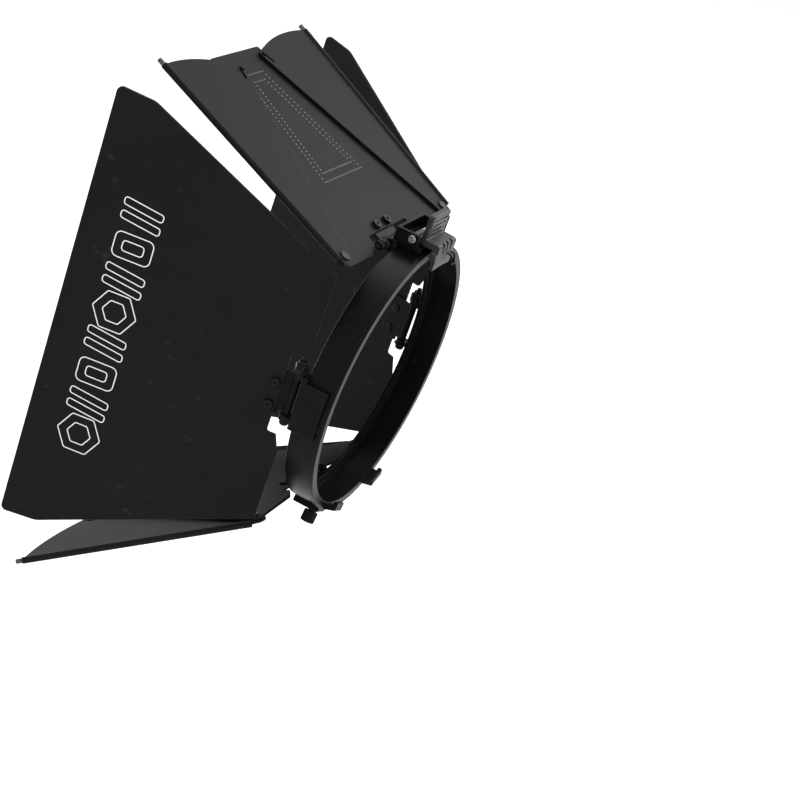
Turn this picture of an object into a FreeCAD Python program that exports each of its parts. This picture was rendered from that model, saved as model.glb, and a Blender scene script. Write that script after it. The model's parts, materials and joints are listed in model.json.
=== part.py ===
import FreeCAD, Part
import math
import os

from FreeCAD import Placement, Rotation, Vector

# Four-leaf barn door with fan-out wings, for the front of a small Fresnel lens.
# Millimetres. Light leaves towards -Y, +Z is up, and the origin is the centre of
# the mounting ring's rear rim. Left is +X, as seen by the person behind the lamp.

# mounting ring
RING_RADIUS = 64.0
RING_WIDTH = 14.3
SEAT_RADIUS = 61.0
LIP_RADIUS = 56.5
LIP_THICKNESS = 2.0
RIM_BEAD = 0.7

# leaf hinges, each on a line square to the optical axis
HINGE_RADIUS = 62.0
HINGE_REACH = 18.6
PIN_RADIUS = 1.1
RUNNING = 0.05
KNUCKLE_RADIUS = 1.7
EAR_RADIUS = 2.4
EAR_INNER = 9.2
EAR_OUTER = 11.2
PAD_HALF = 11.2
PAD_HEIGHT = 65.8
PAD_BACK = 3.0
BOLT_HEAD = 2.1
WASHERS = ((3.0, 0.5), (2.7, 0.6), (3.0, 0.5))
NUT_ACROSS = 5.5
NUT_HEIGHT = 2.6
COLLAR_HEIGHT = 1.0
BOLT_END = 18.2

# how far each leaf leans outwards from the optical axis
LEAN = {"top": 24.0, "left": 12.6, "bottom": 33.3, "right": 22.0}
# turn about Y that carries the top of the ring to each side
TURN = {"top": 0.0, "left": 90.0, "bottom": 180.0, "right": 270.0}
# which end of the hinge bolt carries the nut, and how far the hinge sits off centre towards it
NUT_END = {"top": 1, "left": -1, "bottom": -1, "right": 1}
HINGE_SHIFT = {"top": 3.6, "left": -2.1, "bottom": 0.0, "right": 2.1}
RIVET_SHIFT = {"top": 4.1, "left": 0.0, "bottom": 0.0, "right": 0.0}

# leaves
SHEET = 1.2
HALF_SHEET = SHEET / 2
NOTCH_HEAD_SIDE = 17.6
NOTCH_NUT_SIDE = 18.6
NOTCH_DEPTH = 5.7
NOTCH_STEP = -1.5
NOTCH_FLARE = 8.0
SIDE_BACK = 1.5
SIDE_ROOT = 58.7
SIDE_SPREAD = 48.8 / 107.4
SIDE_SHOULDER = 89.6
SIDE_LENGTH = 106.0
SIDE_TIP = 101.2
PLATE_BACK = 2.5
PLATE_ROOT = 56.7
PLATE_LENGTH = 106.9
PLATE_TIP = 22.0
RIVET_OUT = 8.5
RIVET_SIDE = 5.3
RIVET_RADIUS = 1.2
RIVET_HEAD = 2.2
RIVET_RISE = 1.5

# fan wings on the top and bottom leaf
WING_PIVOT = 53.4
PIVOT_OUT = 2.3
WING_REACH = 107.0
WING_MARGIN = 5.2
WING_WEDGE = 24.0
WING_FLOOR = 1.05
WING_SHEET = 1.0
HEM_RADIUS = 1.5
HEM_BORE = 1.15
ROD_RADIUS = 1.1
ROD_PROUD = 3.2
PIVOT_RADIUS = 1.5
PIVOT_HEAD = 2.5
SLOT_HALF = 2.2
SLOT_RADIUS = 0.9
# outward swing of each wing's outer edge; +1 is the wing on the leaf's local +X end
SWING = {("top", 1): 0.6, ("top", -1): 6.3, ("bottom", 1): 6.0, ("bottom", -1): 13.5}

# latch on the top hinge bracket
HOUSING_HALF = 14.0
HOUSING_FRONT = -15.4
HOUSING_BACK = -4.2
HOUSING_TOP = 71.8
HOUSING_WALL = 1.3
HOUSING_FLOOR = 1.0
LATCH_AXIS_Y = -7.4
LATCH_AXIS_Z = 69.2
LATCH_PIN_RADIUS = 1.1
LEVER_HALF = 9.5
LEVER_TOP = 80.5
LEVER_FRONT = -4.9
LEVER_BACK = -2.3
LEVER_HUB = 2.0
BRIDGE_TOP = 70.4
BRIDGE_LOW = 67.0
CLAW_BLOCK_FRONT = 1.0
CLAW_BLOCK_BACK = 4.4
CLAW_BLOCK_LOW = 58.2
FLANGE_ROOM = 1.6
KEEPER_RADIUS = 0.4

# fixed claws and the lock screw, at angles from straight down
CLAW_ANGLES = (20.0, -20.0)
CLAW_HALF = 4.5
CLAW_LENGTH = 5.0
CLAW_TIP = 58.9
LOCK_ANGLE = -20.0
LOCK_Y = -5.9
LOCK_FACE = 67.0
SCREW_RADIUS = 1.5
KNOB_RADIUS = 3.2
KNOB_START = 68.2
KNOB_END = 73.4
SHOE_RADIUS = 2.4
SHOE_LOW = 61.2
SHOE_HIGH = 62.4

X_AXIS = Vector(1, 0, 0)
Y_AXIS = Vector(0, 1, 0)
Z_AXIS = Vector(0, 0, 1)


def block(x0, x1, y0, y1, z0, z1):
    """Box between two corners."""
    return Part.makeBox(x1 - x0, y1 - y0, z1 - z0, Vector(x0, y0, z0))


def rod(radius, start, axis, length):
    """Cylinder from a start point along an axis."""
    return Part.makeCylinder(radius, length, start, axis)


def along_x(radius, x0, x1, y=0.0, z=0.0):
    """Cylinder between two stations on a line parallel to X."""
    return rod(radius, Vector(x0, y, z), X_AXIS, x1 - x0)


def hex_prism(across, x0, x1, y=0.0, z=0.0):
    """Hexagonal bar lying along X."""
    radius = across / math.sqrt(3)
    corners = []
    for k in range(7):
        a = math.radians(60 * k)
        corners.append(Vector(x0, y + radius * math.cos(a), z + radius * math.sin(a)))
    return Part.Face(Part.makePolygon(corners)).extrude(Vector(x1 - x0, 0, 0))


def rounded_outline(points):
    """Closed wire through (x, y, radius) points, with an arc at each corner that has a radius."""
    edges = []
    joins = []
    count = len(points)
    for i in range(count):
        x, y, r = points[i]
        here = Vector(x, y, 0)
        before = Vector(points[i - 1][0], points[i - 1][1], 0)
        after = Vector(points[(i + 1) % count][0], points[(i + 1) % count][1], 0)
        if r <= 0:
            joins.append((here, here, None))
            continue
        to_before = (before - here).normalize()
        to_after = (after - here).normalize()
        half = to_before.getAngle(to_after) / 2
        set_back = r / math.tan(half)
        middle_dir = (to_before + to_after).normalize()
        middle = here + middle_dir * (r / math.sin(half) - r)
        joins.append((here + to_before * set_back, here + to_after * set_back, middle))
    for i in range(count):
        start, end, middle = joins[i]
        if middle is not None:
            edges.append(Part.Arc(start, middle, end).toShape())
        following = joins[(i + 1) % count][0]
        if end.distanceToPoint(following) > 1e-6:
            edges.append(Part.LineSegment(end, following).toShape())
    return Part.Wire(edges)


def sheet_from(wire, z0, thickness):
    """Flat sheet of one outline, its lower face at z0."""
    face = Part.Face(wire)
    face.translate(Vector(0, 0, z0))
    return face.extrude(Vector(0, 0, thickness))


def profile_x(points, x0, x1):
    """Solid with a rounded (y, z, radius) profile, swept along X."""
    solid = Part.Face(rounded_outline(points)).extrude(Vector(0, 0, x1 - x0))
    # the outline's x, y become y, z, and the sweep runs along +X
    solid.rotate(Vector(0, 0, 0), Vector(1, 1, 1), 120)
    solid.translate(Vector(x0, 0, 0))
    return solid


def on_side(shape, side):
    """Carries a piece modelled at the top of the ring round to one side."""
    moved = shape.copy()
    moved.rotate(Vector(0, 0, 0), Y_AXIS, TURN[side])
    return moved


def on_leaf(shape, side):
    """Carries a piece from the leaf's own flat frame (hinge line on X, leaf towards -Y)."""
    moved = shape.copy()
    moved.rotate(Vector(0, 0, 0), X_AXIS, -LEAN[side])
    moved.translate(Vector(0, -HINGE_REACH, HINGE_RADIUS))
    return on_side(moved, side)


def around_bottom(shape, angle):
    """Carries a piece modelled at the bottom of the ring round the rim by an angle."""
    moved = shape.copy()
    moved.rotate(Vector(0, 0, 0), Y_AXIS, angle)
    return moved


def mount_ring():
    """Shell with a front stop lip, a rolled rear rim and holes for the brackets and screw."""
    shell = rod(RING_RADIUS, Vector(0, -RING_WIDTH, 0), Y_AXIS, RING_WIDTH)
    shell = shell.fuse(rod(RING_RADIUS + RIM_BEAD, Vector(0, -1.6, 0), Y_AXIS, 1.6))
    shell = shell.cut(rod(SEAT_RADIUS, Vector(0, LIP_THICKNESS - RING_WIDTH, 0), Y_AXIS, RING_WIDTH))
    shell = shell.cut(rod(LIP_RADIUS, Vector(0, -RING_WIDTH - 1, 0), Y_AXIS, RING_WIDTH))
    for side in TURN:
        for tool in bracket_screw_shanks(RUNNING):
            shell = shell.cut(on_side(tool, side))
    shell = shell.cut(lock_cylinder(SCREW_RADIUS + 0.08, 55.0, 70.0))
    shell = shell.cut(lock_cylinder(SHOE_RADIUS + 0.1, 55.0, SHOE_HIGH + 0.15))
    front_edges = [e for e in shell.Edges if is_circle_at(e, -RING_WIDTH, RING_RADIUS)]
    return shell.makeFillet(0.8, front_edges)


def is_circle_at(edge, y, radius):
    """True for a full circle of one radius at one station along Y."""
    curve = edge.Curve
    if not hasattr(curve, "Radius"):
        return False
    return abs(curve.Center.y - y) < 1e-4 and abs(curve.Radius - radius) < 1e-4


def bracket_screw_shanks(extra=0.0):
    """The two screw shanks that hold one bracket on the ring."""
    shanks = []
    for x in (-5.5, 5.5):
        start = Vector(x, -8.6, SEAT_RADIUS + 0.4)
        shanks.append(rod(1.2 + extra, start, Z_AXIS, PAD_HEIGHT - SEAT_RADIUS - 0.6))
    return shanks


def hinge_bracket(side):
    """Low pad on the ring with two ears that reach forward to the hinge line."""
    pad = profile_x(
        [
            (-RING_WIDTH, 60.0, 0),
            (-RING_WIDTH, PAD_HEIGHT, 0.6),
            (-PAD_BACK, PAD_HEIGHT, 0.9),
            (-PAD_BACK, 60.0, 0),
        ],
        -PAD_HALF,
        PAD_HALF,
    )
    body = pad.cut(rod(RING_RADIUS + 0.02, Vector(0, -30, 0), Y_AXIS, 40))
    shift = HINGE_SHIFT[side]
    for x0, x1 in ((-EAR_OUTER, -EAR_INNER), (EAR_INNER, EAR_OUTER)):
        arm = profile_x(
            [
                (-HINGE_REACH - EAR_RADIUS, HINGE_RADIUS - EAR_RADIUS, EAR_RADIUS * 0.98),
                (-HINGE_REACH - EAR_RADIUS, HINGE_RADIUS + EAR_RADIUS, EAR_RADIUS * 0.98),
                (-RING_WIDTH - 1.0, PAD_HEIGHT, 0),
                (-RING_WIDTH + 1.0, PAD_HEIGHT, 0),
                (-RING_WIDTH + 1.0, RING_RADIUS + 0.3, 0),
                (-RING_WIDTH - 0.05, RING_RADIUS + 0.3, 0),
                (-RING_WIDTH - 0.05, HINGE_RADIUS - EAR_RADIUS, 0.8),
            ],
            x0 + shift,
            x1 + shift,
        )
        body = body.fuse(arm)
    web = profile_x(
        [
            (-RING_WIDTH - 0.9, RING_RADIUS + 0.4, 0),
            (-RING_WIDTH - 0.9, PAD_HEIGHT, 0.4),
            (-RING_WIDTH + 1.0, PAD_HEIGHT, 0),
            (-RING_WIDTH + 1.0, RING_RADIUS + 0.4, 0),
        ],
        min(-PAD_HALF, shift - EAR_OUTER),
        max(PAD_HALF, shift + EAR_OUTER),
    )
    body = body.fuse(web)
    body = body.cut(along_x(PIN_RADIUS + RUNNING, -30, 30, -HINGE_REACH, HINGE_RADIUS))
    for tool in bracket_screw_shanks(RUNNING):
        body = body.cut(tool)
    return on_side(body.removeSplitter(), side)


def bracket_screws():
    """Flush rivets for all four brackets, as one group."""
    solids = []
    for side in TURN:
        for shank in bracket_screw_shanks():
            solids.append(on_side(shank, side))
    return Part.makeCompound(solids)


def on_bolt(shape, side):
    """Carries a piece of the hinge bolt, modelled with the nut towards +X, to its hinge."""
    moved = shape.copy()
    if NUT_END[side] < 0:
        moved = moved.mirror(Vector(0, 0, 0), X_AXIS)
    moved.translate(Vector(HINGE_SHIFT[side], -HINGE_REACH, HINGE_RADIUS))
    return on_side(moved, side)


def hinge_bolt(side):
    """Round-headed bolt that is the hinge pin, threaded end towards the nut."""
    face = -EAR_OUTER - WASHERS[0][1] - 0.02
    shank = along_x(PIN_RADIUS, face, BOLT_END)
    tip = [e for e in shank.Edges if e.BoundBox.XMin > BOLT_END - 0.01]
    shank = shank.makeChamfer(0.3, tip)
    head = along_x(BOLT_HEAD, face - 2.6, face)
    rim = [e for e in head.Edges if e.BoundBox.XMax < face - 2.5]
    head = head.makeFillet(1.3, rim)
    socket = hex_prism(1.6, face - 3.0, face - 1.2)
    return on_bolt(shank.fuse(head).cut(socket).removeSplitter(), side)


def washer(radius, x, thick):
    """Flat ring on the bolt."""
    disc = along_x(radius, x, x + thick)
    return disc.cut(along_x(PIN_RADIUS + RUNNING, x - 1, x + thick + 1))


def hinge_washers(side):
    """Stack of washers between the ear and the nut, and one under the bolt's head."""
    solids = [washer(WASHERS[0][0], -EAR_OUTER - WASHERS[0][1], WASHERS[0][1])]
    x = EAR_OUTER
    for radius, thick in WASHERS:
        solids.append(washer(radius, x, thick))
        x += thick
    return on_bolt(Part.makeCompound(solids), side)


def hinge_nut(side):
    """Hexagonal lock nut with a round collar."""
    x = EAR_OUTER + sum(thick for radius, thick in WASHERS)
    nut = hex_prism(NUT_ACROSS, x, x + NUT_HEIGHT)
    at = Vector(x - 0.01, 0, 0)
    rising = Part.makeCone(NUT_ACROSS / 2 + 0.1, NUT_ACROSS / 2 + 1.1, 1.0, at, X_AXIS)
    over = at + Vector(1.0, 0, 0)
    falling = Part.makeCone(NUT_ACROSS / 2 + 1.1, NUT_ACROSS / 2 - 0.6, 1.7, over, X_AXIS)
    nut = nut.common(rising.fuse(falling))
    nut = nut.fuse(along_x(2.1, x + NUT_HEIGHT - 0.1, x + NUT_HEIGHT + COLLAR_HEIGHT))
    return on_bolt(nut.cut(along_x(PIN_RADIUS, x - 1, x + 5)).removeSplitter(), side)


def notch_points(side, back):
    """The ring side of a leaf, from one flare to the other round the hinge notch."""
    nut_side = NOTCH_NUT_SIDE + abs(HINGE_SHIFT[side])
    high = nut_side if NUT_END[side] > 0 else NOTCH_HEAD_SIDE
    low = NOTCH_HEAD_SIDE if NUT_END[side] > 0 else nut_side
    return [
        (high + NOTCH_FLARE, back, 1.5),
        (high, NOTCH_STEP, 0.8),
        (high, -NOTCH_DEPTH, 1.2),
        (-low, -NOTCH_DEPTH, 1.2),
        (-low, NOTCH_STEP, 0.8),
        (-low - NOTCH_FLARE, back, 1.5),
    ]


def rivet_places(side):
    """Stations of the two leaf rivets along the hinge."""
    return [RIVET_SHIFT[side] - RIVET_SIDE, RIVET_SHIFT[side] + RIVET_SIDE]


def rivet_holes(solid, side):
    """Drills the two rivet holes of a leaf or its hinge plate."""
    for x in rivet_places(side):
        hole = rod(RIVET_RADIUS, Vector(x, -RIVET_OUT, -5), Z_AXIS, 10)
        solid = solid.cut(hole)
    return solid


def side_leaf(side):
    """Broad trapezoid sheet with clipped far corners and a hinge notch."""
    shoulder = SIDE_ROOT + SIDE_SPREAD * (SIDE_SHOULDER + SIDE_BACK)
    corner_out = 1.6
    root = SIDE_ROOT + SIDE_SPREAD * (SIDE_BACK - corner_out)
    right = [
        (SIDE_TIP, -SIDE_LENGTH, 2.5),
        (shoulder, -SIDE_SHOULDER, 8.0),
        (root, corner_out, 1.0),
        (SIDE_ROOT - 4.2, SIDE_BACK, 1.5),
    ]
    left = [(-x, y, r) for x, y, r in reversed(right)]
    wire = rounded_outline(right + notch_points(side, SIDE_BACK) + left)
    return on_leaf(rivet_holes(sheet_from(wire, -HALF_SHEET, SHEET), side), side)


def centre_leaf(side):
    """Narrow plate of the top or bottom leaf, which carries the two wings."""
    right = [
        (PLATE_TIP, -PLATE_LENGTH, 1.5),
        (PLATE_ROOT, -PIVOT_OUT - 2.0, 6.0),
        (PLATE_ROOT, PLATE_BACK, 3.2),
    ]
    left = [(-x, y, r) for x, y, r in reversed(right)]
    wire = rounded_outline(right + notch_points(side, PLATE_BACK) + left)
    plate = rivet_holes(sheet_from(wire, -HALF_SHEET, SHEET), side)
    for hand in (1, -1):
        hole = rod(PIVOT_RADIUS, Vector(hand * WING_PIVOT, -PIVOT_OUT, -5), Z_AXIS, 10)
        plate = plate.cut(hole)
    return on_leaf(plate, side)


def leaf_hinge(side):
    """Knuckle and plate riveted to the inner face of a leaf."""
    half = EAR_INNER - 0.2
    shift = HINGE_SHIFT[side]
    low = min(shift - half, RIVET_SHIFT[side] - half)
    high = max(shift + half, RIVET_SHIFT[side] + half)
    neck = -EAR_RADIUS - 1.0
    end = -RIVET_OUT - 4.2
    wire = rounded_outline([(low, end, 2.0), (high, end, 2.0), (high, neck, 0), (low, neck, 0)])
    plate = sheet_from(wire, -HALF_SHEET - 1.0, 1.0)
    strip = block(shift - half, shift + half, neck - 0.5, -0.9, -HALF_SHEET - 1.0, -HALF_SHEET)
    plate = plate.fuse(strip)
    knuckle = along_x(KNUCKLE_RADIUS, shift - half, shift + half)
    body = rivet_holes(plate.fuse(knuckle), side)
    body = body.cut(along_x(PIN_RADIUS + RUNNING, -30, 30))
    return on_leaf(body.removeSplitter(), side)


def leaf_rivets(side):
    """Two cap-headed screws through leaf and hinge plate, peened inside."""
    solids = []
    for x in rivet_places(side):
        shank = rod(RIVET_RADIUS, Vector(x, -RIVET_OUT, -1.6), Z_AXIS, 2.2)
        cap = rod(RIVET_HEAD, Vector(x, -RIVET_OUT, HALF_SHEET), Z_AXIS, RIVET_RISE)
        rim = [e for e in cap.Edges if e.BoundBox.ZMin > HALF_SHEET + RIVET_RISE - 0.1]
        cap = cap.makeFillet(0.45, rim)
        cap = cap.cut(rod(0.9, Vector(x, -RIVET_OUT, HALF_SHEET + RIVET_RISE - 0.8), Z_AXIS, 2))
        tail = rod(1.8, Vector(x, -RIVET_OUT, -2.2), Z_AXIS, 0.6)
        solids.append(shank.fuse(cap).fuse(tail).removeSplitter())
    return on_leaf(Part.makeCompound(solids), side)


def swung(shape, side, hand):
    """Carries a wing piece from its own frame (pivot at the origin, outer edge towards -Y)."""
    moved = shape.copy()
    moved.rotate(Vector(0, 0, 0), Z_AXIS, SWING[(side, hand)])
    moved.translate(Vector(WING_PIVOT, -PIVOT_OUT, 0))
    if hand < 0:
        moved = moved.mirror(Vector(0, 0, 0), X_AXIS)
    return on_leaf(moved, side)


def wing_length():
    """Straight length of a wing's edges."""
    return math.sqrt(WING_REACH ** 2 - WING_MARGIN ** 2)


def wing_direction(angle):
    """Unit vector at an angle inwards from the wing's outer edge."""
    a = math.radians(angle)
    return Vector(-math.sin(a), -math.cos(a), 0)


def wing_sheet(side, hand):
    """Fan blade: two straight edges, an arc at the far end and a round end at the pivot."""
    long = wing_length()
    inward = wing_direction(WING_WEDGE)
    across = Vector(inward.y, -inward.x, 0)
    outer_near = Vector(WING_MARGIN, 0, 0)
    outer_far = Vector(WING_MARGIN, -long, 0)
    inner_near = across * WING_MARGIN
    inner_far = inner_near + inward * long
    arc_mid = wing_direction(WING_WEDGE / 2) * WING_REACH
    round_mid = wing_direction(WING_WEDGE / 2) * -WING_MARGIN
    outline = Part.Wire(
        [
            Part.LineSegment(outer_near, outer_far).toShape(),
            Part.Arc(outer_far, arc_mid, inner_far).toShape(),
            Part.LineSegment(inner_far, inner_near).toShape(),
            Part.Arc(inner_near, round_mid, outer_near).toShape(),
        ]
    )
    blade = sheet_from(outline, WING_FLOOR, WING_SHEET)
    corner = [e for e in blade.Edges if is_post_at(e, inner_far)]
    blade = blade.makeFillet(1.6, corner)
    middle = WING_FLOOR + WING_SHEET / 2
    hem = rod(HEM_RADIUS, Vector(WING_MARGIN, -long, middle), Y_AXIS, long)
    blade = blade.fuse(hem)
    blade = blade.cut(rod(HEM_BORE, Vector(WING_MARGIN, -long - 5, middle), Y_AXIS, long + 10))
    blade = blade.cut(rod(PIVOT_RADIUS + RUNNING, Vector(0, 0, -5), Z_AXIS, 10))
    blade = blade.cut(pull_slot()).fuse(stop_stud())
    return swung(blade.removeSplitter(), side, hand)


def is_post_at(edge, point):
    """True for a sheet's short edge that stands over one outline point."""
    box = edge.BoundBox
    flat = Vector(box.Center.x, box.Center.y, 0)
    return box.ZLength > 0.5 and flat.distanceToPoint(point) < 0.01


def pull_slot():
    """Short slot near the inner far corner, along the inner edge, for a fingernail."""
    slot = block(-SLOT_HALF, SLOT_HALF, -SLOT_RADIUS, SLOT_RADIUS, 0, 5)
    for x in (-SLOT_HALF, SLOT_HALF):
        slot = slot.fuse(rod(SLOT_RADIUS, Vector(x, 0, 0), Z_AXIS, 5))
    slot.rotate(Vector(0, 0, 0), Z_AXIS, 90 - WING_WEDGE)
    return slot.translate(inner_corner_place(2.8, WING_REACH - 5.0))


def inner_corner_place(inset, reach):
    """Point near the wing's inner edge: so far in from that edge and out from the pivot."""
    inward = wing_direction(WING_WEDGE)
    across = Vector(inward.y, -inward.x, 0)
    return inward * reach + across * (WING_MARGIN - inset)


def stop_stud():
    """Small round stud at the inner far corner that meets the leaf's edge when a wing is in."""
    foot = inner_corner_place(1.9, WING_REACH - 1.9) + Vector(0, 0, WING_FLOOR)
    stud = rod(1.3, foot, Z_AXIS, WING_SHEET + 1.1)
    top = [e for e in stud.Edges if e.BoundBox.ZMin > WING_FLOOR + WING_SHEET + 1.0]
    return stud.makeFillet(0.4, top)


def wing_rod(side, hand):
    """Steel rod inside the hem, standing proud at the tip."""
    long = wing_length()
    middle = WING_FLOOR + WING_SHEET / 2
    bar = rod(ROD_RADIUS, Vector(WING_MARGIN, -long - ROD_PROUD, middle), Y_AXIS, long + ROD_PROUD - 0.6)
    tip = [e for e in bar.Edges if e.BoundBox.YMax < -long - ROD_PROUD + 0.01]
    return swung(bar.makeFillet(0.4, tip), side, hand)


def wing_pivot(side, hand):
    """Shouldered rivet that the wing swings on."""
    shank = rod(PIVOT_RADIUS, Vector(0, 0, -HALF_SHEET), Z_AXIS, 3.4)
    head_floor = WING_FLOOR + WING_SHEET + 0.05
    head = rod(PIVOT_HEAD, Vector(0, 0, head_floor), Z_AXIS, 0.6)
    rim = [e for e in head.Edges if e.BoundBox.ZMin > head_floor + 0.5]
    head = head.makeFillet(0.35, rim)
    tail = rod(2.6, Vector(0, 0, -HALF_SHEET - 0.7), Z_AXIS, 0.7)
    rivet = shank.common(block(-5, 5, -5, 5, -2, head_floor + 0.4))
    rivet = rivet.fuse(head).fuse(tail).removeSplitter()
    return swung(rivet, side, hand)


def pivot_washers(side):
    """Thin spacing washers between a centre leaf and its wings."""
    solids = []
    for hand in (1, -1):
        disc = rod(3.3, Vector(0, 0, HALF_SHEET), Z_AXIS, WING_FLOOR - HALF_SHEET - 0.05)
        disc = disc.cut(rod(PIVOT_RADIUS, Vector(0, 0, -5), Z_AXIS, 10))
        solids.append(swung(disc, side, hand))
    return Part.makeCompound(solids)


def latch_housing():
    """Open-topped tray on the top bracket, whose side plates hold the latch pin."""
    outer = block(-HOUSING_HALF, HOUSING_HALF, HOUSING_FRONT, HOUSING_BACK, PAD_HEIGHT, HOUSING_TOP)
    inner = HOUSING_HALF - HOUSING_WALL
    room = block(-inner, inner, HOUSING_FRONT + HOUSING_WALL, 0, PAD_HEIGHT + HOUSING_FLOOR, 80)
    tray = outer.cut(room)
    corners = [e for e in tray.Edges if is_plate_corner(e)]
    tray = tray.makeFillet(2.2, corners)
    return tray.cut(along_x(LATCH_PIN_RADIUS, -20, 20, LATCH_AXIS_Y, LATCH_AXIS_Z))


def is_plate_corner(edge):
    """True for the upper rear corners of the tray's side plates."""
    box = edge.BoundBox
    along = box.YLength < 1e-6 and box.ZLength < 1e-6
    return along and box.YMin > HOUSING_BACK - 1e-3 and box.ZMin > HOUSING_TOP - 1e-3


def latch_pin():
    """Pin that the lever rocks on, headed at the left."""
    pin = along_x(LATCH_PIN_RADIUS, -HOUSING_HALF - 0.3, HOUSING_HALF, LATCH_AXIS_Y, LATCH_AXIS_Z)
    head = along_x(1.8, HOUSING_HALF, HOUSING_HALF + 0.7, LATCH_AXIS_Y, LATCH_AXIS_Z)
    rim = [e for e in head.Edges if e.BoundBox.XMin > HOUSING_HALF + 0.6]
    return pin.fuse(head.makeFillet(0.3, rim)).removeSplitter()


def thumb_plate():
    """Upright plate of the lever, with rounded corners and three grip grooves."""
    corners = [
        (-LEVER_HALF, LATCH_AXIS_Z - 1.0, 0),
        (LEVER_HALF, LATCH_AXIS_Z - 1.0, 0),
        (LEVER_HALF, LEVER_TOP, 2.0),
        (-LEVER_HALF, LEVER_TOP, 2.0),
    ]
    plate = Part.Face(rounded_outline(corners)).extrude(Vector(0, 0, LEVER_FRONT - LEVER_BACK))
    plate.rotate(Vector(0, 0, 0), X_AXIS, 90)
    plate.translate(Vector(0, LEVER_FRONT, 0))
    edges = [e for e in plate.Edges if e.BoundBox.YMin > LEVER_BACK - 1e-3]
    plate = plate.makeChamfer(0.5, edges)
    for k in range(3):
        z = LEVER_TOP - 2.6 - 2.3 * k
        half = LEVER_HALF - 2.0 - 0.8 * k
        groove = block(-half, half, LEVER_BACK - 0.8, LEVER_BACK + 1, z - 0.45, z + 0.45)
        plate = plate.cut(groove)
    return plate


def latch_lever():
    """Rocking lever: hub on the pin, thumb plate, bridge over the rim and claw block behind it."""
    hub = along_x(LEVER_HUB, -HOUSING_HALF + 1.6, HOUSING_HALF - 1.6, LATCH_AXIS_Y, LATCH_AXIS_Z)
    bridge = profile_x(
        [
            (LATCH_AXIS_Y, LATCH_AXIS_Z - 1.7, 0),
            (LATCH_AXIS_Y, BRIDGE_TOP, 0),
            (CLAW_BLOCK_BACK, BRIDGE_TOP - 0.6, 1.6),
            (CLAW_BLOCK_BACK, CLAW_BLOCK_LOW, 0.5),
            (CLAW_BLOCK_FRONT + FLANGE_ROOM + 0.3, CLAW_BLOCK_LOW, 0.3),
            (CLAW_BLOCK_FRONT + FLANGE_ROOM, SEAT_RADIUS + 0.5, 0.3),
            (CLAW_BLOCK_FRONT, SEAT_RADIUS + 0.9, 0.3),
            (CLAW_BLOCK_FRONT, BRIDGE_LOW, 0.3),
            (-3.4, BRIDGE_LOW, 0),
            (-3.8, LATCH_AXIS_Z - 1.7, 0),
        ],
        -LEVER_HALF,
        LEVER_HALF,
    )
    lever = hub.fuse(bridge).fuse(thumb_plate())
    lever = lever.cut(rod(CLAW_TIP, Vector(0, -20, 0), Y_AXIS, 40))
    for k in (-1, 0, 1):
        middle = 4.2 * k
        front = CLAW_BLOCK_FRONT + 1.6
        gap = block(middle - 1.1, middle + 1.1, front, 9, BRIDGE_LOW - 1.6, BRIDGE_TOP + 1)
        lever = lever.cut(gap)
    boss = along_x(1.7, LEVER_HALF, LEVER_HALF + 0.9, CLAW_BLOCK_FRONT + 1.6, 64.4)
    lever = lever.fuse(boss)
    for x in (-8.2, -4.6):
        lever = lever.cut(rod(KEEPER_RADIUS, Vector(x, CLAW_BLOCK_BACK - 1.5, 63.4), Y_AXIS, 4))
    low = LATCH_AXIS_Z - 3.5
    lever = lever.cut(block(-3.2, 3.2, -12.0, LATCH_AXIS_Y + 2.3, low, low + 5.8))
    lever = lever.cut(along_x(LATCH_PIN_RADIUS + RUNNING, -20, 20, LATCH_AXIS_Y, LATCH_AXIS_Z))
    return lever.removeSplitter()


def bent_wire(points, radius, bend):
    """Round wire through corner points, with one bend radius."""
    edges = []
    start = points[0]
    for i in range(1, len(points) - 1):
        here = points[i]
        back = (points[i - 1] - here).normalize()
        on = (points[i + 1] - here).normalize()
        half = back.getAngle(on) / 2
        set_back = bend / math.tan(half)
        enter = here + back * set_back
        leave = here + on * set_back
        middle = here + (back + on).normalize() * (bend / math.sin(half) - bend)
        if start.distanceToPoint(enter) > 1e-6:
            edges.append(Part.LineSegment(start, enter).toShape())
        edges.append(Part.Arc(enter, middle, leave).toShape())
        start = leave
    edges.append(Part.LineSegment(start, points[-1]).toShape())
    path = Part.Wire(edges)
    section = Part.Wire([Part.makeCircle(radius, points[0], points[1] - points[0])])
    return path.makePipeShell([section], True, True)


def keeper_wire():
    """Sprung wire loop behind the claw block that rides over the barrel's rim first."""
    start = CLAW_BLOCK_BACK - 1.5
    points = [
        Vector(-8.2, start, 63.4),
        Vector(-8.2, CLAW_BLOCK_BACK + 1.6, 63.4),
        Vector(-8.2, CLAW_BLOCK_BACK + 2.8, 59.4),
        Vector(-4.6, CLAW_BLOCK_BACK + 2.8, 59.4),
        Vector(-4.6, CLAW_BLOCK_BACK + 1.6, 63.4),
        Vector(-4.6, start, 63.4),
    ]
    return bent_wire(points, KEEPER_RADIUS, 1.1)


def latch_spring():
    """Torsion spring round the pin: close coils and two short legs."""
    pitch = 0.85
    turns = 5
    wire = 0.3
    coil = 1.62
    solids = None
    for k in range(turns):
        x = (k - (turns - 1) / 2) * pitch
        loop = Part.makeTorus(coil, wire, Vector(x, LATCH_AXIS_Y, LATCH_AXIS_Z), X_AXIS)
        solids = loop if solids is None else solids.fuse(loop)
    bar = block(
        -turns * pitch / 2,
        turns * pitch / 2,
        LATCH_AXIS_Y - 1.75,
        LATCH_AXIS_Y - 1.5,
        LATCH_AXIS_Z - 0.2,
        LATCH_AXIS_Z + 0.2,
    )
    leg = rod(wire, Vector(-pitch * 2, LATCH_AXIS_Y - 1.6, LATCH_AXIS_Z), Vector(0, -1, 0), 4.6)
    return solids.fuse(bar).fuse(leg).removeSplitter()


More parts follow.
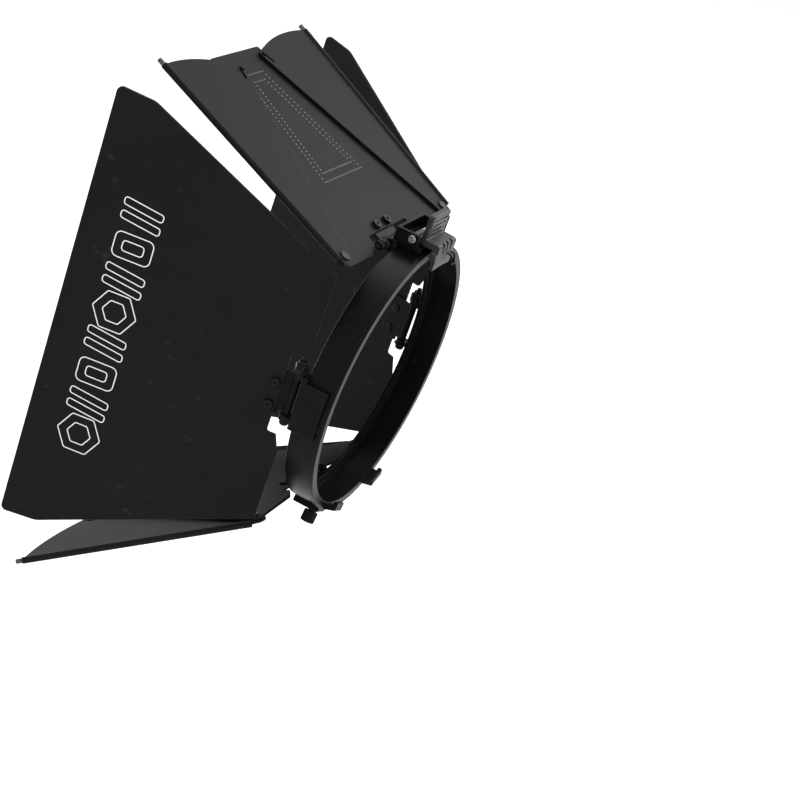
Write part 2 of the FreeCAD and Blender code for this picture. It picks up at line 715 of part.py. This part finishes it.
def claw(angle):
    """Hook welded to the ring's rear rim, reaching behind the barrel's rim."""
    body = profile_x(
        [
            (0.0, -RING_RADIUS - 0.2, 0),
            (CLAW_LENGTH, -RING_RADIUS + 1.2, 0.8),
            (CLAW_LENGTH, -CLAW_TIP, 0.5),
            (CLAW_LENGTH - 2.0, -CLAW_TIP, 0.5),
            (CLAW_LENGTH - 2.4, -SEAT_RADIUS - 0.3, 0.4),
            (0.0, -SEAT_RADIUS - 0.3, 0),
        ],
        -CLAW_HALF,
        CLAW_HALF,
    )
    return around_bottom(body, angle)


def lock_cylinder(radius, low, high):
    """Cylinder on the lock screw's line, between two distances from the ring's axis."""
    bar = rod(radius, Vector(0, LOCK_Y, -high), Z_AXIS, high - low)
    return around_bottom(bar, LOCK_ANGLE)


def lock_boss():
    """Threaded block on the rim, for the lock screw."""
    body = profile_x(
        [
            (-RING_WIDTH - 0.3, -LOCK_FACE, 0.8),
            (-1.9, -LOCK_FACE, 0.8),
            (-1.9, -RING_RADIUS + 3, 0),
            (-RING_WIDTH - 0.3, -RING_RADIUS + 3, 0),
        ],
        -5.0,
        5.0,
    )
    body = body.cut(rod(RING_RADIUS + 0.02, Vector(0, -30, 0), Y_AXIS, 40))
    body = around_bottom(body, LOCK_ANGLE)
    return body.cut(lock_cylinder(SCREW_RADIUS + 0.08, 50.0, 80.0))


def lock_screw():
    """Knurled thumb screw, with its flutes cut round the head."""
    head = rod(KNOB_RADIUS, Vector(0, LOCK_Y, -KNOB_END), Z_AXIS, KNOB_END - KNOB_START)
    ends = [e for e in head.Edges if e.BoundBox.ZLength < 0.01]
    head = head.makeFillet(0.5, ends)
    flutes = 18
    for k in range(flutes):
        a = 2 * math.pi * k / flutes
        at = Vector(KNOB_RADIUS * math.cos(a), LOCK_Y + KNOB_RADIUS * math.sin(a), -KNOB_END - 1)
        head = head.cut(rod(0.3, at, Z_AXIS, KNOB_END - KNOB_START + 2))
    foot = Vector(0, LOCK_Y, -KNOB_START - 0.1)
    shank = rod(SCREW_RADIUS, foot, Z_AXIS, KNOB_START + 0.1 - SHOE_HIGH - 0.05)
    return around_bottom(head.fuse(shank).removeSplitter(), LOCK_ANGLE)


def lock_shoe():
    """Soft brake pad that the screw pushes against the barrel."""
    pad = lock_cylinder(SHOE_RADIUS, SHOE_LOW, SHOE_HIGH)
    return pad


def wing_nodes():
    """The eight pieces of each wing pair, by node name."""
    nodes = {}
    for side in ("top", "bottom"):
        ends = {1: "left", -1: "right"} if side == "top" else {-1: "left", 1: "right"}
        for hand, word in ends.items():
            nodes["wing_%s_%s" % (side, word)] = wing_sheet(side, hand)
            nodes["wing_rod_%s_%s" % (side, word)] = wing_rod(side, hand)
            nodes["wing_pivot_%s_%s" % (side, word)] = wing_pivot(side, hand)
        nodes["pivot_washers_%s" % side] = pivot_washers(side)
    return nodes


def hinge_nodes():
    """The hinge hardware of all four leaves, by node name."""
    nodes = {}
    for side in TURN:
        nodes["hinge_bracket_" + side] = hinge_bracket(side)
        nodes["hinge_bolt_" + side] = hinge_bolt(side)
        nodes["hinge_washers_" + side] = hinge_washers(side)
        nodes["hinge_nut_" + side] = hinge_nut(side)
        nodes["leaf_hinge_" + side] = leaf_hinge(side)
        nodes["leaf_rivets_" + side] = leaf_rivets(side)
    return nodes


def main():
    os.makedirs("parts", exist_ok=True)
    nodes = {
        "mount_ring": mount_ring(),
        "bracket_screws": bracket_screws(),
        "top_leaf": centre_leaf("top"),
        "bottom_leaf": centre_leaf("bottom"),
        "left_leaf": side_leaf("left"),
        "right_leaf": side_leaf("right"),
        "latch_housing": latch_housing(),
        "latch_pin": latch_pin(),
        "latch_lever": latch_lever(),
        "keeper_wire": keeper_wire(),
        "latch_spring": latch_spring(),
        "claw_left": claw(-CLAW_ANGLES[0]),
        "claw_right": claw(-CLAW_ANGLES[1]),
        "lock_boss": lock_boss(),
        "lock_screw": lock_screw(),
        "lock_shoe": lock_shoe(),
    }
    nodes.update(hinge_nodes())
    nodes.update(wing_nodes())
    for name, shape in nodes.items():
        for solid in shape.Solids:
            if not solid.isValid():
                print("not valid:", name)
        shape.exportStep("parts/%s.step" % name)
        print("%-24s %2d solid(s) %10.1f mm3" % (name, len(shape.Solids), shape.Volume))


main()
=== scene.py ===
import bpy
import bmesh
import json
import math
from mathutils import Matrix, Vector


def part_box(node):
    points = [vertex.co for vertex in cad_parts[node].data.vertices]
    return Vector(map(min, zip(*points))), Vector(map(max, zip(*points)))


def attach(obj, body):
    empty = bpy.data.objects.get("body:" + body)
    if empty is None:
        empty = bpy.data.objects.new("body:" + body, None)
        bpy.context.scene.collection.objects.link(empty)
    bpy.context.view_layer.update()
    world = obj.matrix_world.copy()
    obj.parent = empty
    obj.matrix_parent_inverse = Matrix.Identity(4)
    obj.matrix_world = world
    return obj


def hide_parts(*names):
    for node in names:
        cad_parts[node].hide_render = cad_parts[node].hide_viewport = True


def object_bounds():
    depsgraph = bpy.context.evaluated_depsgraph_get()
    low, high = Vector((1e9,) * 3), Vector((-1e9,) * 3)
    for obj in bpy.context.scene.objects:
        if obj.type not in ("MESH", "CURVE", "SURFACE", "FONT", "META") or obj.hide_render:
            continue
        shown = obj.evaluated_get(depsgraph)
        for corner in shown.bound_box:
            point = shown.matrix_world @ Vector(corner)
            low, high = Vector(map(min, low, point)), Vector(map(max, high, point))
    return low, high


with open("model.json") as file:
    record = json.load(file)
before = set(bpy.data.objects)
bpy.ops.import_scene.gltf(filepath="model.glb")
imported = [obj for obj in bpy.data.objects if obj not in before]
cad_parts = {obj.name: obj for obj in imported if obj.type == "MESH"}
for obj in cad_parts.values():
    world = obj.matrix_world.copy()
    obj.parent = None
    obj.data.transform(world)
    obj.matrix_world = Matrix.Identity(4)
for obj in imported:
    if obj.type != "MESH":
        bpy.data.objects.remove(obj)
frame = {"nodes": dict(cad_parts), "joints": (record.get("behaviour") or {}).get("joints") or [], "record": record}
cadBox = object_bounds()
nodes = frame["nodes"]
print("frame loaded:", len(nodes), "nodes")


class Wire:
    # a shader socket that takes part in ordinary arithmetic
    def __init__(self, tree, socket=None):
        self.tree = tree
        self.socket = socket

    # any node: its settings first, then the values or links of its sockets
    def add(self, kind, settings, sockets, out=0):
        node = self.tree.nodes.new("ShaderNode" + kind)
        for name, value in settings.items():
            setattr(node, name, value)
        for key, value in sockets.items():
            if isinstance(value, Wire):
                self.tree.links.new(value.socket, node.inputs[key])
            else:
                node.inputs[key].default_value = value
        return Wire(self.tree, node.outputs[out] if len(node.outputs) else None)

    def math(self, operation, *values):
        return self.add("Math", {"operation": operation}, dict(enumerate(values)))

    def __add__(self, other):
        return self.math("ADD", self, other)

    def __radd__(self, other):
        return self.math("ADD", other, self)

    def __sub__(self, other):
        return self.math("SUBTRACT", self, other)

    def __rsub__(self, other):
        return self.math("SUBTRACT", other, self)

    def __mul__(self, other):
        return self.math("MULTIPLY", self, other)

    def __rmul__(self, other):
        return self.math("MULTIPLY", other, self)

    # rises from 0 to 1 as this value goes from low to high
    def step(self, low, high):
        settings = {"interpolation_type": "SMOOTHSTEP"}
        return self.add("MapRange", settings, {0: self, 1: low, 2: high, 3: 0.0, 4: 1.0})

    # colour between a and b by this value
    def mix(self, a, b):
        return self.add("Mix", {"data_type": "RGBA"}, {0: self, 6: a, 7: b}, 2)


def newMaterial(name):
    material = bpy.data.materials.new(name)
    material.use_nodes = True
    material.node_tree.nodes.clear()
    return material, Wire(material.node_tree)


def noise(start, place, scale, detail=2.0, roughness=0.5):
    sockets = {"Vector": place, "Scale": scale, "Detail": detail, "Roughness": roughness}
    return start.add("TexNoise", {"noise_dimensions": "3D"}, sockets, "Fac")


def stretched(start, place, scale):
    return start.add("VectorMath", {"operation": "MULTIPLY"}, {0: place, 1: scale})


# how sharp the edge under a point is: 0 on a flat face, up to about 0.3 on a square corner
def sharpness(start, radius):
    rounded = start.add("Bevel", {"samples": 6}, {"Radius": radius})
    flat = start.add("NewGeometry", {}, {}, "Normal")
    together = start.add("VectorMath", {"operation": "DOT_PRODUCT"}, {0: rounded, 1: flat}, "Value")
    return 1.0 - together, rounded


# painted or plated metal: clouded colour, fine grain, rubbed edges, small scratches and dust
def coatedMetal(name, values):
    material, start = newMaterial(name)
    place = start.add("TexCoord", {}, {}, "Object")
    cloud = noise(start, place, values["cloudScale"], 4.0, 0.6)
    grain = noise(start, place, values["grainScale"], 3.0, 0.55)
    edge, rounded = sharpness(start, values["edgeRadius"])
    patchy = noise(start, place, values["wearScale"], 3.0, 0.7)
    rubbed = (edge * 6.0 * patchy.step(0.30, 0.62)).step(0.25, 0.85) * values["wear"]
    scratchPlace = stretched(start, place, values["scratchStretch"])
    scratch = noise(start, scratchPlace, values["scratchScale"], 1.0, 0.4).step(0.70, 0.735)
    scratch = scratch * patchy.step(0.45, 0.7) * values["scratches"]
    dust = noise(start, place, values["dustScale"], 5.0, 0.7).step(0.55, 0.85) * values["dust"]
    body = cloud.step(0.25, 0.75).mix(values["dark"], values["light"])
    body = (grain.step(0.35, 0.75) * values["speckle"]).mix(body, values["speckleColour"])
    body = dust.mix(body, values["dustColour"])
    worn = rubbed + scratch
    body = worn.math("MINIMUM", worn, 1.0).mix(body, values["wornColour"])
    roughness = values["roughness"] + (cloud - 0.5) * values["roughnessSpread"] + dust * 0.3
    roughness = roughness - rubbed * 0.12 + (grain - 0.5) * 0.08
    height = grain * values["grainDepth"] + cloud * values["waveDepth"]
    height = height - scratch * values["scratchDepth"]
    relief = {"Strength": 1.0, "Distance": 1.0, "Height": height, "Normal": rounded}
    bump = start.add("Bump", {}, relief)
    sockets = {
        "Base Color": body,
        "Metallic": values["metallic"] + rubbed * (values["wornMetallic"] - values["metallic"]),
        "Roughness": roughness.math("MAXIMUM", roughness, values["leastRoughness"]),
        "Specular IOR Level": values["specular"],
        "Coat Weight": values["coat"],
        "Coat Roughness": 0.25,
        "Normal": bump,
    }
    surface = start.add("BsdfPrincipled", {}, sockets)
    start.add("OutputMaterial", {}, {"Surface": surface})
    return material


powderCoat = {
    "dark": (0.0050, 0.0050, 0.0057, 1),
    "light": (0.0076, 0.0077, 0.0087, 1),
    "cloudScale": 26.0,
    "grainScale": 1500.0,
    "grainDepth": 0.000022,
    "waveDepth": 0.00012,
    "speckle": 0.35,
    "speckleColour": (0.0088, 0.0090, 0.0098, 1),
    "edgeRadius": 0.0005,
    "wear": 0.55,
    "wearScale": 90.0,
    "wornColour": (0.08, 0.08, 0.084, 1),
    "wornMetallic": 0.5,
    "scratches": 0.16,
    "scratchStretch": (1.0, 0.16, 0.5),
    "scratchScale": 420.0,
    "scratchDepth": 0.00001,
    "leastRoughness": 0.08,
    "dust": 0.10,
    "dustScale": 60.0,
    "dustColour": (0.030, 0.030, 0.031, 1),
    "roughness": 0.50,
    "roughnessSpread": 0.12,
    "metallic": 0.0,
    "specular": 0.075,
    "coat": 0.0,
}
ringPaint = dict(
    powderCoat,
    dark=(0.0022, 0.0022, 0.0025, 1),
    light=(0.0038, 0.0039, 0.0043, 1),
    specular=0.07,
    grainScale=2200.0,
    grainDepth=0.000008,
    speckle=0.2,
    roughness=0.34,
    roughnessSpread=0.10,
    wear=0.25,
    scratchStretch=(0.5, 1.0, 0.5),
)
bracketPaint = dict(
    ringPaint,
    dark=(0.0026, 0.0026, 0.0029, 1),
    light=(0.0048, 0.0049, 0.0053, 1),
    grainScale=1800.0,
    grainDepth=0.000014,
    roughness=0.40,
    wear=0.5,
    wearScale=260.0,
    cloudScale=120.0,
)
blackOxide = dict(
    bracketPaint,
    dark=(0.005, 0.0049, 0.0050, 1),
    light=(0.012, 0.0114, 0.0110, 1),
    grainScale=3000.0,
    grainDepth=0.000006,
    roughness=0.34,
    metallic=0.35,
    wornMetallic=0.9,
    wornColour=(0.20, 0.195, 0.19, 1),
    edgeRadius=0.0003,
    cloudScale=300.0,
    wearScale=500.0,
)
brightSteel = dict(
    blackOxide,
    dark=(0.30, 0.305, 0.31, 1),
    light=(0.42, 0.425, 0.43, 1),
    speckle=0.12,
    speckleColour=(0.22, 0.22, 0.225, 1),
    roughness=0.27,
    metallic=1.0,
    wornMetallic=1.0,
    wornColour=(0.6, 0.6, 0.6, 1),
    specular=0.5,
    dust=0.2,
    dustColour=(0.10, 0.10, 0.10, 1),
)
dullSteel = dict(
    brightSteel,
    dark=(0.055, 0.056, 0.058, 1),
    light=(0.10, 0.101, 0.104, 1),
    speckleColour=(0.03, 0.03, 0.031, 1),
    roughness=0.36,
    wornColour=(0.30, 0.30, 0.30, 1),
)
# lever paint: the base colour is several times lighter than the bracket paint it starts from, a painted highlight
# for the light the lever catches; the rubbed edges are real wear
leverPaintWithPaintedHighlight = dict(
    bracketPaint,
    dark=(0.014, 0.0142, 0.0148, 1),
    light=(0.030, 0.0303, 0.0312, 1),
    roughness=0.42,
    metallic=0.2,
    speckle=0.2,
    speckleColour=(0.04, 0.04, 0.041, 1),
    wear=0.6,
    wornColour=(0.34, 0.34, 0.345, 1),
    specular=0.25,
)
mouldedKnob = dict(
    bracketPaint,
    dark=(0.0045, 0.0046, 0.0049, 1),
    light=(0.0070, 0.0072, 0.0076, 1),
    grainScale=2600.0,
    grainDepth=0.00002,
    roughness=0.5,
    wear=0.35,
    wornColour=(0.05, 0.05, 0.052, 1),
    wornMetallic=0.0,
)
softRubber = dict(mouldedKnob, roughness=0.75, wear=0.2, specular=0.3, dust=0.35)

finishes = {
    "black_sheet": coatedMetal("satin powder coat", powderCoat),
    "black_ring": coatedMetal("smooth ring paint", ringPaint),
    "black_hardware": coatedMetal("black oxide fasteners", blackOxide),
    "bare_steel": coatedMetal("bright steel", brightSteel),
    # the lever's lighter base colour is a painted highlight
    "latch_metal": coatedMetal("lever paint with painted highlight", leverPaintWithPaintedHighlight),
    "knob_black": coatedMetal("moulded knob", mouldedKnob),
    "shoe_rubber": coatedMetal("brake rubber", softRubber),
    "bracket_paint": coatedMetal("bracket paint", bracketPaint),
    "dull_steel": coatedMetal("darkened rod steel", dullSteel),
}


def dressNodes():
    slotOf = {part["node"]: part["material_slot"] for part in frame["record"]["subparts"]}
    pressed = ("hinge_bracket", "leaf_hinge", "latch_housing", "claw", "lock_boss")
    for name, piece in nodes.items():
        slotName = slotOf[name]
        if name.startswith(pressed):
            slotName = "bracket_paint"
        if name.startswith("wing_rod"):
            slotName = "dull_steel"
        for slot in piece.material_slots:
            slot.material = finishes[slotName]


dressNodes()
print("finishes on", len(nodes), "nodes")


# printed ink: not quite even, and thinner where it has rubbed
def inkMaterial(name, colour, thin):
    material, start = newMaterial(name)
    place = start.add("TexCoord", {}, {}, "Object")
    patch = noise(start, place, 140.0, 4.0, 0.6)
    grain = noise(start, place, 1700.0, 2.0, 0.5)
    worn = (patch.step(0.52, 0.8) * grain.step(0.35, 0.7)) * 0.55
    body = worn.mix(colour, thin)
    bump = start.add("Bump", {}, {"Strength": 0.6, "Distance": 1.0, "Height": grain * 0.00001})
    sockets = {
        "Base Color": body,
        "Roughness": 0.42 + grain * 0.2,
        "Specular IOR Level": 0.4,
        "Normal": bump,
    }
    start.add("OutputMaterial", {}, {"Surface": start.add("BsdfPrincipled", {}, sockets)})
    return material


# the flat outer face of a leaf: hinge point, outward direction, hinge direction and normal
def leafFace(node, joint):
    piece = nodes[node]
    hinge = next(j for j in frame["joints"] if j["name"] == joint)
    pivot = Vector(hinge["pos_m"])
    normal = max(piece.data.polygons, key=lambda face: face.area).normal.copy()
    if normal.dot(Vector((pivot.x, 0, pivot.z))) < 0:
        normal.negate()
    along = Vector(hinge["axis"]).cross(normal)
    if along.y > 0:
        along.negate()
    across = along.cross(normal)
    height = max(normal.dot(vertex.co - pivot) for vertex in piece.data.vertices)
    return pivot + normal * height, along, across, normal


def place2d(face, out, side, lift):
    origin, along, across, normal = face
    return origin + along * out + across * side + normal * lift


def circleLoop(centre, radius, count):
    turns = [2 * math.pi * k / count for k in range(count)]
    return [(centre[0] + radius * math.cos(t), centre[1] + radius * math.sin(t)) for t in turns]


# corners replaced by arcs, so that a loop reads as a rounded outline
def roundedLoop(corners, radius, steps=6):
    loop = []
    for i, corner in enumerate(corners):
        here = Vector(corner)
        toBefore = (Vector(corners[i - 1]) - here).normalized()
        toAfter = (Vector(corners[(i + 1) % len(corners)]) - here).normalized()
        half = toBefore.angle(toAfter) / 2
        centre = here + (toBefore + toAfter).normalized() * (radius / math.sin(half))
        first = here + toBefore * (radius / math.tan(half)) - centre
        last = here + toAfter * (radius / math.tan(half)) - centre
        turn = first.angle_signed(last)
        for k in range(steps + 1):
            arm = first.copy()
            arm.rotate(Matrix.Rotation(-turn * k / steps, 2))
            loop.append(tuple(centre + arm))
    return loop


def regularCorners(centre, radius, count, turn=0.0):
    angles = [turn + 2 * math.pi * k / count for k in range(count)]
    return [(centre[0] + radius * math.cos(a), centre[1] + radius * math.sin(a)) for a in angles]


def slantedBar(centre, height, width, slant):
    h = height / 2
    w = width / 2
    x, y = centre
    return [
        (x - h, y - w - slant),
        (x + h, y - w + slant),
        (x + h, y + w + slant),
        (x - h, y + w - slant),
    ]


# a ribbon of ink of one width along a closed loop
def inkRibbon(mesh, face, loop, width, lift):
    count = len(loop)
    inner = []
    outer = []
    for i in range(count):
        here = Vector(loop[i])
        ahead = (Vector(loop[(i + 1) % count]) - Vector(loop[i - 1])).normalized()
        side = Vector((ahead.y, -ahead.x)) * (width / 2)
        inner.append(mesh.verts.new(place2d(face, *(here - side), lift)))
        outer.append(mesh.verts.new(place2d(face, *(here + side), lift)))
    for i in range(count):
        j = (i + 1) % count
        mesh.faces.new((inner[i], inner[j], outer[j], outer[i]))


def meshPiece(name, mesh, material, smooth=False):
    bmesh.ops.recalc_face_normals(mesh, faces=mesh.faces)
    data = bpy.data.meshes.new(name)
    mesh.to_mesh(data)
    mesh.free()
    data.materials.append(material)
    for face in data.polygons:
        face.use_smooth = smooth
    piece = bpy.data.objects.new(name, data)
    bpy.context.scene.collection.objects.link(piece)
    return piece


# plain outlined shapes in a row, parallel to the far edge of the side leaf
rowPrint = {
    "middle": 0.0818,
    "height": 0.0195,
    "start": -0.052,
    "pitch": 0.0149,
    "count": 8,
    "hexagonInner": 0.55,  # of the outer hexagon
    "hexagonCorner": 0.0011,
    "boxOuter": (0.86, 0.58),  # height and width, of the row's height
    "boxInner": (0.48, 0.24),
    "boxCorners": (0.0026, 0.0014),
    "barOffset": 0.0030,
    "barHeight": 0.9,
    "barWidth": 0.0034,
    "barSlant": 0.0012,
    "barCorner": 0.0012,
    "line": 0.00046,
    "lift": 0.00005,
    "ink": (0.78, 0.78, 0.77, 1),
    "rubbedInk": (0.32, 0.32, 0.32, 1),
}


def printRow():
    values = rowPrint
    face = leafFace("left_leaf", "left_leaf_hinge")
    mesh = bmesh.new()
    middle = values["middle"]
    height = values["height"]
    for k in range(values["count"]):
        centre = (middle, values["start"] + values["pitch"] * k)
        if k % 4 == 0:
            radius = height * 0.5
            corner = values["hexagonCorner"]
            sizes = (radius, radius * values["hexagonInner"])
            loops = [roundedLoop(regularCorners(centre, size, 6), corner) for size in sizes]
        elif k % 4 == 2:
            loops = []
            for share, corner in zip((values["boxOuter"], values["boxInner"]), values["boxCorners"]):
                box = slantedBar(centre, height * share[0], height * share[1], 0.0)
                loops.append(roundedLoop(box, corner))
        else:
            loops = []
            for side in (-values["barOffset"], values["barOffset"]):
                at = (middle, centre[1] + side)
                bar = slantedBar(at, height * values["barHeight"], values["barWidth"], values["barSlant"])
                loops.append(roundedLoop(bar, values["barCorner"]))
        for loop in loops:
            inkRibbon(mesh, face, loop, values["line"], values["lift"])
    ink = inkMaterial("printed white", values["ink"], values["rubbedInk"])
    piece = meshPiece("leafPrint", mesh, ink)
    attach(piece, "left_leaf")


printRow()
print("row of shapes printed on the side leaf")


# rows of small pressed dots that frame the middle of the top leaf
dotField = {
    "near": 0.0353,
    "far": 0.0943,
    "nearHalf": 0.0185,
    "farHalf": 0.0085,
    "spacing": 0.0021,
    "radius": 0.00036,
    "dotSides": 10,
    "rows": 2,
    "rowGap": 0.0042,
    "lift": 0.00005,
    "ink": (0.20, 0.20, 0.21, 1),
    "rubbedInk": (0.06, 0.06, 0.062, 1),
}


def dotPath(a, b, spacing):
    run = Vector(b) - Vector(a)
    count = max(1, round(run.length / spacing))
    return [tuple(Vector(a) + run * (k / count)) for k in range(count)]


def printDots():
    values = dotField
    face = leafFace("top_leaf", "top_leaf_hinge")
    mesh = bmesh.new()
    for row in range(values["rows"]):
        inset = row * values["rowGap"]
        near = values["near"] + inset
        far = values["far"] - inset
        nearHalf = values["nearHalf"] - inset
        farHalf = values["farHalf"] - inset * 0.9
        corners = [(near, -nearHalf), (far, -farHalf), (far, farHalf), (near, nearHalf)]
        for i in range(4):
            for out, side in dotPath(corners[i], corners[(i + 1) % 4], values["spacing"]):
                ring = circleLoop((out, side), values["radius"], values["dotSides"])
                spots = [place2d(face, *spot, values["lift"]) for spot in ring]
                mesh.faces.new([mesh.verts.new(spot) for spot in spots])
    ink = inkMaterial("dot ink", values["ink"], values["rubbedInk"])
    piece = meshPiece("topLeafDots", mesh, ink)
    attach(piece, "top_leaf")


printDots()
print("dots printed on the top leaf")


def wirePiece(name, points, radius, material):
    curve = bpy.data.curves.new(name, "CURVE")
    curve.dimensions = "3D"
    curve.bevel_depth = radius
    curve.bevel_resolution = 4
    curve.resolution_u = 4
    curve.use_fill_caps = True
    spline = curve.splines.new("NURBS")
    spline.points.add(len(points) - 1)
    for point, place in zip(spline.points, points):
        point.co = (*place, 1)
    spline.order_u = 3
    spline.use_endpoint_u = True
    curve.materials.append(material)
    piece = bpy.data.objects.new(name, curve)
    bpy.context.scene.collection.objects.link(piece)
    return piece


# the latch's torsion spring, wound round its pin
springWinding = {
    "turns": 5.5,
    "wire": 0.00029,
    "coilRadius": 0.00160,
    "width": 0.0039,
    "stepsPerTurn": 16,
    "firstLeg": (0, -0.0002, -0.0010),
    "lastLeg": (0, 0, 0.0012),
}


def windSpring():
    values = springWinding
    low, high = [Vector(corner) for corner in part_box("latch_pin")]
    axisY = (low.y + high.y) / 2
    axisZ = (low.z + high.z) / 2
    steps = int(values["turns"] * values["stepsPerTurn"])
    points = []
    for k in range(steps + 1):
        angle = -2 * math.pi * k / values["stepsPerTurn"]
        x = values["width"] * (k / steps - 0.5)
        y = axisY - values["coilRadius"] * math.cos(angle)
        z = axisZ + values["coilRadius"] * math.sin(angle)
        points.append((x, y, z))
    first = Vector(points[0]) + Vector(values["firstLeg"])
    last = Vector(points[-1]) + Vector(values["lastLeg"])
    points = [tuple(first)] + points + [tuple(last)]
    piece = wirePiece("windingSpring", points, values["wire"], finishes["bare_steel"])
    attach(piece, "ring")
    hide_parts("latch_spring")


windSpring()
print("latch spring wound")


# a broad pale floor, well below the object
floorValues = {
    "drop": 0.17,
    "size": 30.0,
    "colour": (0.96, 0.96, 0.96, 1),
    "shade": (0.95, 0.95, 0.95, 1),
}


def layFloor():
    values = floorValues
    mesh = bmesh.new()
    bmesh.ops.create_grid(mesh, x_segments=8, y_segments=8, size=values["size"] / 2)
    material, start = newMaterial("floor paper")
    place = start.add("TexCoord", {}, {}, "Object")
    cloud = noise(start, place, 2.0, 3.0, 0.5)
    grain = noise(start, place, 900.0, 2.0, 0.5)
    bump = start.add("Bump", {}, {"Strength": 0.3, "Distance": 1.0, "Height": grain * 0.00005})
    sockets = {
        "Base Color": cloud.step(0.3, 0.7).mix(values["shade"], values["colour"]),
        "Roughness": 0.8 + grain * 0.1,
        "Specular IOR Level": 0.1,
        "Normal": bump,
    }
    start.add("OutputMaterial", {}, {"Surface": start.add("BsdfPrincipled", {}, sockets)})
    floor = meshPiece("floor", mesh, material)
    floor.location = (0, 0, cadBox[0][2] - values["drop"])


layFloor()
print("floor laid")


# soft boxes round the object: place, aim, width, height and power
softBoxes = {
    "overhead": ((-0.5, -0.3, 1.3), (0, -0.05, 0), 1.0, 1.0, 11.0),
    "farSide": ((-1.5, 0.4, 0.75), (0, -0.05, 0), 0.9, 0.7, 6.0),
    "behind": ((0.5, 1.3, 0.5), (0, 0, 0), 0.7, 0.7, 3.0),
}


def lightStudio():
    for name, (place, aim, width, height, power) in softBoxes.items():
        data = bpy.data.lights.new(name, "AREA")
        data.shape = "RECTANGLE"
        data.size = width
        data.size_y = height
        data.energy = power
        lamp = bpy.data.objects.new(name, data)
        lamp.location = place
        lamp.rotation_euler = (Vector(aim) - Vector(place)).to_track_quat("-Z", "Y").to_euler()
        bpy.context.scene.collection.objects.link(lamp)


# even room light, with a white backdrop where the floor ends
roomLight = {"colour": (1.0, 1.0, 1.0, 1), "strength": 1.03}


def lightRoom():
    world = bpy.data.worlds.new("room")
    bpy.context.scene.world = world
    world.use_nodes = True
    world.node_tree.nodes.clear()
    start = Wire(world.node_tree)
    sockets = {"Color": roomLight["colour"], "Strength": roomLight["strength"]}
    lit = start.add("Background", {}, sockets)
    start.add("OutputWorld", {}, {"Surface": lit})
    bpy.context.scene.view_settings.view_transform = "Standard"


lightStudio()
lightRoom()
print("lights set")


viewpoint = {
    "azimuth": 105.55,
    "elevation": 24.36,
    "distance": 0.8623,
    "roll": 20.32,
    "aim": (0.0007, 0.0084, -0.0064),
    "lens": 87.9,
}


def setCamera():
    values = viewpoint
    azimuth = math.radians(values["azimuth"])
    elevation = math.radians(values["elevation"])
    flat = math.cos(elevation)
    away = Vector((math.sin(azimuth) * flat, -math.cos(azimuth) * flat, math.sin(elevation)))
    data = bpy.data.cameras.new("camera")
    data.lens = values["lens"]
    data.sensor_width = 36.0
    camera = bpy.data.objects.new("camera", data)
    aimed = (-away).to_track_quat("-Z", "Y").to_matrix()
    turned = aimed @ Matrix.Rotation(math.radians(values["roll"]), 3, "Z")
    place = Vector(values["aim"]) + away * values["distance"]
    camera.matrix_world = Matrix.Translation(place) @ turned.to_4x4()
    bpy.context.scene.collection.objects.link(camera)
    bpy.context.scene.camera = camera


setCamera()
